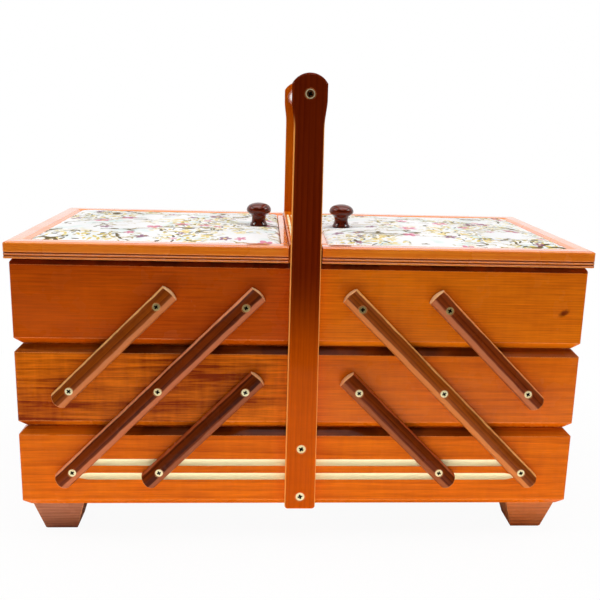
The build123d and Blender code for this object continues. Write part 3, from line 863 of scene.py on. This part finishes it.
def leafScrews(head, side, way, leaves, body, facing):
    # three screws on the open face of each of a lid's or tray's leaves
    look = hingeScrewLook
    node = side + "_hinge_" + leaves + "_leaves"
    draw = random.Random(node)
    low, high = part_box(node)
    edge = low.x if way > 0 else high.x
    placements = []
    for points in solidsOf(node):
        if np.ptp(points[:, 0]) < look["leastLeaf"]:
            continue  # the pins
        centre = (points.min(0) + points.max(0)) / 2
        flat = points[np.abs(points[:, 0] - edge) < look["faceSlack"]]
        level = flat[:, 2].max() if facing > 0 else flat[:, 2].min()
        for step in (-1, 0, 1):
            spot = (edge + way * look["fromEdge"], centre[1] + step * look["along"], level)
            placements.append(screwPlace(spot, 0 if facing > 0 else math.pi, draw))
    piece = joinCopies(side + leaves.title() + "HingeScrews", head, placements)
    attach(piece, side + body)


def hingeScrews():
    head = slottedHead("hingeScrewShape")
    for side, way in sides.items():
        for leaves, body, facing in (("tray", "_top_tray", 1), ("lid", "_lid", -1)):
            leafScrews(head, side, way, leaves, body, facing)


hingeScrews()
print("hinge screws made")


# Knobs: turned, stained dark and polished

knobLook = {
    # radius and height as shares of the CAD knob's own
    "profile": [
        (0.0, 0.0), (0.64, 0.0), (0.715, 0.015), (0.73, 0.05), (0.715, 0.085), (0.655, 0.13),
        (0.585, 0.2), (0.548, 0.3), (0.552, 0.39), (0.6, 0.46), (0.72, 0.515), (0.87, 0.565),
        (0.965, 0.62), (1.0, 0.69), (0.975, 0.765), (0.885, 0.845), (0.73, 0.915), (0.5, 0.965),
        (0.25, 0.992), (0.0, 1.0),
    ],
    "segments": 48, "smooth": 60, "subdivisions": 2, "screwPan": 0.0018,
    "finish": {"Specular IOR Level": 0.1, "Coat Weight": 0.6, "Coat Roughness": 0.02},
    "grain": {
        "Light": rgb(116, 35, 6), "Dark": rgb(10, 2, 0), "Spacing": 140.0, "Rings": 0.6,
        "Fibres": 0.6, "Figure": 0.2, "Blotches": 1.2,
    },
    "marks": {"Smear Scale": 90.0, "Scratch Scale": 260.0}, "roughness": (0.12, 0.28),
    "relief": {"Distance": 0.0001, "Strength": 0.12},
}


def knobMaterial():
    look = knobLook
    material, shader, point = newMaterial("knobPolish", **look["finish"])
    grainOut = useGroup(boardGrain, {"Vector": point, **look["grain"]})
    marks = useGroup(handlingMarks, {"Vector": point, **look["marks"]})
    roughness = ranged(marks["Smears"], 0.0, 1.0, *look["roughness"])
    bump = {"Height": grainOut["Height"], **look["relief"]}
    finishShader(shader, grainOut["Color"], roughness, bump)
    return material


def makeKnobs():
    polish = knobMaterial()
    for side in sides:
        node = side + "_lid_knob"
        solids = sorted(solidsOf(node), key=lambda points: points[:, 2].min())
        low, high = solids[-1].min(0), solids[-1].max(0)
        radius, height = (high[0] - low[0]) / 2, high[2] - low[2]
        outline = [(r * radius, z * height) for r, z in knobLook["profile"]]
        mesh = meshFrom(side + "KnobShape", lathe(outline, knobLook["segments"]), [polish])
        smoothMesh(mesh, knobLook["smooth"])
        knob = addObject(side + "Knob", mesh)
        knob.location = ((low[0] + high[0]) / 2, (low[1] + high[1]) / 2, low[2])
        knob.modifiers.new("smooth", "SUBSURF").render_levels = knobLook["subdivisions"]
        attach(knob, side + "_lid")
        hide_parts(node)
        pan = knobLook["screwPan"]
        length = float(np.ptp(solids[0][:, 2])) - pan
        shape = screwMesh(side + "KnobScrewShape", screwLook["handle"], length, pan)
        under = addObject(side + "KnobScrew", shape)
        under.location = (knob.location.x, knob.location.y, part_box(side + "_lid_board")[0].z)
        under.rotation_euler = (math.pi, 0, 0)
        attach(under, side + "_lid")


makeKnobs()
print("knobs made")


# Padded fabric

padLook = {
    "step": 0.004, "overlap": 0.0065, "bevelSlope": 0.42, "thickness": 0.00256,
    "crownReach": 0.018, "crownPower": 2.4, "seat": 0.0078, "seatSlope": 0.006, "seatDrop": 0.0016,
    "pressure": 4.0, "frames": 20, "quality": 6, "mostMove": 0.0016, "knobPin": 0.0095,
    "pinSlack": 1e-5, "smooth": 50, "subdivisions": 2, "fill": 0.7, "leastMove": 1e-9,
}
motifLook = {
    "blossom": {
        "randomness": 0.85, "turn": 6.0, "size": (0.6, 0.55), "lobes": (0.55, 0.45), "heart": 0.26,
    },
    "leaf": {"randomness": 0.9, "turn": 6.28},
    "line": {"stretch": (0.45, 1.0, 0.0), "detail": 2.5, "roughness": 0.55, "gateScale": 30.0},
}
printLook = {
    "cloth": rgb(255, 255, 255), "wash": rgb(206, 232, 226), "plum": rgb(132, 40, 100),
    "washScale": 42.0, "washReach": (0.52, 0.72, 0.0, 0.5), "clusterScale": 17.0,
    "clusters": (0.45, 0.55), "wander": (0.003, 0.003, 0.0), "wanderScale": 160.0,
    "shift": (0.31, 0.17, 0.0), "blossomAmount": 0.85, "plumFrom": (0.45, 0.55),
    # each motif's colour and the values of its group, in the order of printing
    "leaf": (rgb(232, 210, 104), {"Scale": 150.0, "Length": 0.58, "Width": 0.2, "Share": 0.62}),
    "straw": (rgb(246, 224, 150), {"Scale": 74.0, "Petals": 5.0, "Size": 0.42, "Share": 0.36}),
    "twig": (rgb(178, 154, 72), {"Scale": 62.0, "Width": 0.009, "Share": 0.5}),
    "branch": (rgb(104, 86, 28), {"Scale": 24.0, "Width": 0.0072, "Share": 0.56}),
    "pink": (rgb(224, 112, 150), {"Scale": 58.0, "Petals": 5.0, "Size": 0.42, "Share": 0.26}),
    "darkLeaf": (rgb(66, 62, 24), {"Scale": 170.0, "Length": 0.62, "Width": 0.15, "Share": 0.34}),
}
weaveLook = {
    "finish": {"Specular IOR Level": 0.2, "Sheen Weight": 0.25, "Sheen Roughness": 0.5},
    "threads": {"Scale": 900.0, "Distortion": 0.4}, "slubScale": 700.0,
    "roughness": (0.3, 0.7, 0.8, 0.95), "relief": {"Distance": 0.0001, "Strength": 0.5},
}


def scaled(value, gain, base):
    return place("Math", {0: value, 1: gain, 2: base}, operation="MULTIPLY_ADD").outputs[0]


def scatterCells(start, randomness):
    # each cell's random numbers, the distance to its middle, and the point seen from there
    flat = stretch(start["Vector"], (1.0, 1.0, 0.0))
    inputs = {"Vector": flat, "Scale": start["Scale"], "Randomness": randomness}
    cells = place("TexVoronoi", inputs).outputs
    numbers = place("SeparateColor", {0: cells["Color"]}).outputs
    grown, middle = (
        place("VectorMath", {0: spot, "Scale": start["Scale"]}, operation="SCALE").outputs[0]
        for spot in (flat, cells["Position"])
    )
    return numbers, cells["Distance"], vectors("SUBTRACT", grown, middle)


def blossomParts(start):
    # a blossom in each cell: petal mask, heart mask and the cell's own number
    look = motifLook["blossom"]
    numbers, distance, local = scatterCells(start, look["randomness"])
    angle = maths("ARCTAN2", along(local, "Y"), along(local, "X"))
    swing = maths("ADD", times(start["Petals"], 0.5, angle), times(numbers[0], look["turn"]))
    lobes = size(maths("COSINE", swing))
    radius = times(start["Size"], scaled(numbers[1], *look["size"]))
    petals = below(distance, times(radius, scaled(lobes, *look["lobes"])))
    heart = below(distance, times(radius, look["heart"]))
    shown = below(numbers[2], start["Share"])
    masks = {"Petals": times(petals, shown), "Heart": times(heart, shown)}
    return {**masks, "Number": numbers[0]}


def leafParts(start):
    # one slim leaf in each cell, at the cell's own angle
    look = motifLook["leaf"]
    numbers, _, local = scatterCells(start, look["randomness"])
    turn = {"Vector": local, "Angle": times(numbers[0], look["turn"])}
    turned = place("VectorRotate", turn, rotation_type="Z_AXIS").outputs[0]
    length, width = (
        maths("DIVIDE", size(along(turned, axis)), start[reach])
        for axis, reach in (("X", "Length"), ("Y", "Width"))
    )
    inside = below(maths("ADD", times(length, length), width), 1.0)
    shown = below(numbers[1], start["Share"])
    return {"Mask": times(inside, shown)}


def lineParts(start):
    # long bent lines where slow noise passes its middle value
    look = motifLook["line"]
    bent = stretch(start["Vector"], look["stretch"])
    level = noise(bent, start["Scale"], look["detail"], look["roughness"])
    line = below(size(minus(level, 0.5)), start["Width"])
    gate = below(noise(start["Vector"], look["gateScale"]), start["Share"])
    return {"Mask": times(line, gate)}


def printedCloth():
    # sprays of blossom, leaves and branches, and a plain weave under them
    look = printLook
    blossom = makeGroup("scatterBlossom", blossomParts, {
        "Vector": origin, "Scale": 40.0, "Petals": 5.0, "Size": 0.3, "Share": 0.5,
    })
    leaf = makeGroup("scatterLeaf", leafParts, {
        "Vector": origin, "Scale": 90.0, "Length": 0.42, "Width": 0.12, "Share": 0.5,
    })
    line = makeGroup(
        "windingLine", lineParts, {"Vector": origin, "Scale": 20.0, "Width": 0.01, "Share": 0.5}
    )
    material, shader, point = newMaterial("printedCotton", **weaveLook["finish"])
    drawn = vectors("ADD", point, drift(point, look["wanderScale"], look["wander"]))
    shifted = vectors("ADD", drawn, look["shift"])
    cluster = ranged(noise(point, look["clusterScale"]), *look["clusters"])
    wash = ranged(noise(point, look["washScale"]), *look["washReach"])
    colour = mixColours(wash, look["cloth"], look["wash"])
    strawColour = look["straw"][0]
    for name, motif, spot, share in (
        ("leaf", leaf, drawn, cluster), ("straw", blossom, drawn, cluster),
        ("twig", line, drawn, None), ("branch", line, drawn, None),
        ("pink", blossom, shifted, look["blossomAmount"]), ("darkLeaf", leaf, shifted, cluster),
    ):
        ink, values = look[name]
        shape = useGroup(motif, {"Vector": spot, **values})
        if name == "pink":
            plum = ranged(shape["Number"], *look["plumFrom"])
            ink = mixColours(plum, ink, look["plum"])
        mask = shape[0] if share is None else times(shape[0], share)
        colour = mixColours(mask, colour, ink)
        if name == "pink":
            colour = mixColours(shape["Heart"], colour, strawColour)
    threads = [
        place("TexWave", {"Vector": point, **weaveLook["threads"]}, bands_direction=way)
        for way in ("X", "Y")
    ]
    weave = times(*(thread.outputs["Fac"] for thread in threads))
    slubs = noise(point, weaveLook["slubScale"])
    bump = {"Height": maths("ADD", weave, slubs), **weaveLook["relief"]}
    finishShader(shader, colour, ranged(slubs, *weaveLook["roughness"]), bump)
    return material


def padHeight(x, y, low, high, knobX):
    # the crown, with a dip under the knob
    look = padLook
    fromEdge = min(x - low.x, high.x - x, y - low.y, high.y - y)
    fall = (1 - min(fromEdge / look["crownReach"], 1.0)) ** look["crownPower"]
    fromSeat = (math.hypot(x - knobX, y) - look["seat"]) / look["seatSlope"]
    dip = 1 - min(max(fromSeat, 0.0), 1.0)
    return high.z - look["thickness"] * fall - look["seatDrop"] * dip * dip * (3 - 2 * dip)


def padShell(side, way, knobX):
    # closed cushion: a crowned top, then in under it along the rails' bevels and straight down
    low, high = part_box(side + "_lid_pad")
    overlap = padLook["overlap"]
    brim = high.z - padLook["thickness"]
    foot = brim - overlap * padLook["bevelSlope"]
    near = Vector((low.x + overlap * (way < 0), low.y + overlap, 0))
    span = Vector((high.x - overlap * (way > 0), high.y - overlap, 0)) - near
    nx, ny = (round((high[k] - low[k]) / padLook["step"]) for k in (0, 1))
    xs, ys = (
        [low[k] + (high[k] - low[k]) * (i / n) for i in range(n + 1)]
        for k, n in ((0, nx), (1, ny))
    )
    form = bmesh.new()
    grid = [[form.verts.new((x, y, padHeight(x, y, low, high, knobX))) for y in ys] for x in xs]
    for i in range(nx):
        for j in range(ny):
            form.faces.new((grid[i][j], grid[i + 1][j], grid[i + 1][j + 1], grid[i][j + 1]))
    rim = [(i, 0) for i in range(nx)] + [(nx, j) for j in range(ny)]
    rim += [(nx - i, ny) for i in range(nx)] + [(0, ny - j) for j in range(ny)]
    loop = [grid[i][j] for i, j in rim]
    for z in (foot, low.z):
        spots = [(near.x + span.x * i / nx, near.y + span.y * j / ny, z) for i, j in rim]
        lower = [form.verts.new(spot) for spot in spots]
        for k in range(len(loop)):
            after = (k + 1) % len(loop)
            form.faces.new((loop[k], lower[k], lower[after], loop[after]))
        loop = lower
    form.faces.new(loop[::-1])
    bmesh.ops.recalc_face_normals(form, faces=form.faces)
    pad = addObject(side + "Pad", meshFrom(side + "PadShape", form))
    pins = pad.vertex_groups.new(name="held")
    for vert in pad.data.vertices:
        atKnob = math.hypot(vert.co.x - knobX, vert.co.y) < padLook["knobPin"]
        if atKnob or vert.co.z < brim + padLook["pinSlack"]:
            pins.add([vert.index], 1.0, "REPLACE")
    return pad


def inflate(pad):
    # the cloth fills out under pressure, held at its edges and under the knob
    rest = np.array([vert.co for vert in pad.data.vertices])
    cloth = pad.modifiers.new("filling", "CLOTH")
    setUp(cloth.settings, use_pressure=True, uniform_pressure_force=padLook["pressure"],
          vertex_group_mass="held", quality=padLook["quality"])
    cloth.settings.effector_weights.gravity = 0.0
    cloth.point_cache.frame_end = padLook["frames"]
    for step in range(1, padLook["frames"] + 1):
        bpy.context.scene.frame_set(step)
    graph = bpy.context.evaluated_depsgraph_get()
    filled = np.array([vert.co for vert in pad.evaluated_get(graph).data.vertices])
    move = filled - rest
    length = np.linalg.norm(move, axis=1, keepdims=True)
    most = padLook["mostMove"]
    scale = most * np.tanh(length / most) / np.maximum(length, padLook["leastMove"])
    pad.modifiers.remove(cloth)
    pad.data.vertices.foreach_set("co", (rest + move * scale).ravel())
    pad.data.update()
    bpy.context.scene.frame_set(1)
    print("  filled", pad.name, "most move %.2f mm" % (float((length * scale).max()) * 1000))


def makePads():
    cotton = printedCloth()
    for side, way in sides.items():
        knobX = middleOf(side + "_lid_knob").x
        pad = padShell(side, way, knobX)
        inflate(pad)
        pad.data.materials.append(cotton)
        smoothMesh(pad.data, padLook["smooth"])
        pad.modifiers.new("smooth", "SUBSURF").render_levels = padLook["subdivisions"]
        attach(pad, side + "_lid")
        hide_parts(side + "_lid_pad")


makePads()
print("pads made")


# Floor, light and camera

studio = {
    "floorSize": 1.16, "floorSides": 96, "fade": (0.3, 0.56), "floorWhite": (0.95, 1.0),
    "floor": {"Base Color": rgb(250, 250, 250), "Roughness": 0.9},
    "ambient": 0.18, "frontGlow": 0.03, "frontCone": (-0.45, 0.55),
    "lamps": {  # place, size, power in watts, and the point that the lamp faces
        "topPanel": ((0.0, -0.05, 1.4), (1.7, 0.7), 12.0, (0.0, -0.04, 0.2)),
        "leftStrip": ((-0.95, -0.15, 1.0), (0.5, 0.12), 3.0, (0, 0, 0.14)),
        "rightStrip": ((0.95, -0.15, 1.0), (0.5, 0.12), 3.0, (0, 0, 0.14)),
        "glint": ((0.04, -0.55, 1.25), (0.45, 0.1), 1.2, (0.0, 0.0, 0.25)),
        "tableBounce": ((0.0, -0.27, 0.002), (1.2, 0.31), 1.35, (0.0, -0.27, 1.0)),
    },
    "unseenInGloss": "tableBounce",
}
view = {
    "position": (-0.0320, -0.7071, 0.33476), "yaw": 3.806, "pitch": 13.494, "roll": 1.655,
    "lens": 49.45, "sensor": 36.0, "shift": (-0.0249, 0.0143),
}


def makeFloor():
    material, shader, point = newMaterial("floorPaper", **studio["floor"])
    tree = material.node_tree
    glow = place("Emission", {"Color": (1, 1, 1, 1), "Strength": 1.0}, tree).outputs[0]
    toCamera = place("LightPath", tree=tree).outputs["Is Camera Ray"]
    white = ranged(vectors("LENGTH", point), *studio["fade"], *studio["floorWhite"])
    inputs = {0: times(toCamera, white), 1: shader.outputs[0], 2: glow}
    both = place("MixShader", inputs)
    tree.links.new(both.outputs[0], tree.nodes["Material Output"].inputs["Surface"])
    form = bmesh.new()
    radius, corners = studio["floorSize"] / 2, studio["floorSides"]
    bmesh.ops.create_circle(form, cap_ends=True, segments=corners, radius=radius)
    addObject("studioFloor", meshFrom("studioFloor", form, [material]))


def makeWorld():
    # white for the eye; gloss sees a dark cone on the viewer's side
    world = bpy.data.worlds.new("studioWorld")
    bpy.context.scene.world = world
    world.use_nodes = True
    tree = world.node_tree
    background = tree.nodes["Background"]
    path = place("LightPath", tree=tree).outputs
    heading = along(place("TexCoord", tree=tree).outputs["Generated"], "Y")
    gloss = ranged(heading, *studio["frontCone"], studio["frontGlow"], 1.0)
    seen = maths("MAXIMUM", path["Is Camera Ray"], path["Is Transmission Ray"])
    level = place("Mix", {0: path["Is Glossy Ray"], 2: studio["ambient"], 3: gloss}).outputs[0]
    level = place("Mix", {0: seen, 2: level, 3: 1.0}).outputs[0]
    tree.links.new(level, background.inputs["Strength"])
    background.inputs["Color"].default_value = (1, 1, 1, 1)


def makeLamps():
    for name, (spot, sizes, power, aim) in studio["lamps"].items():
        lamp = setUp(bpy.data.lights.new(name, "AREA"), shape="RECTANGLE", energy=power)
        lamp.size, lamp.size_y = sizes
        turn = (Vector(aim) - Vector(spot)).to_track_quat("-Z", "Y").to_euler()
        setUp(addObject(name, lamp), location=spot, rotation_euler=turn, visible_camera=False,
              visible_glossy=name != studio["unseenInGloss"])


def makeCamera():
    yaw, pitch, roll = (math.radians(view[key]) for key in ("yaw", "pitch", "roll"))
    lens = bpy.data.cameras.new("viewCamera")
    lens.shift_x, lens.shift_y = view["shift"]
    camera = addObject("viewCamera", setUp(lens, lens=view["lens"], sensor_width=view["sensor"]))
    camera.matrix_world = Matrix.Translation(view["position"])
    for angle, axis in ((-yaw, "Z"), (math.pi / 2 - pitch, "X"), (roll, "Z")):
        camera.matrix_world = camera.matrix_world @ Matrix.Rotation(angle, 4, axis)
    bpy.context.scene.camera = camera


makeFloor()
makeWorld()
makeLamps()
makeCamera()
bpy.context.scene.view_settings.view_transform = "Standard"
print("studio made")
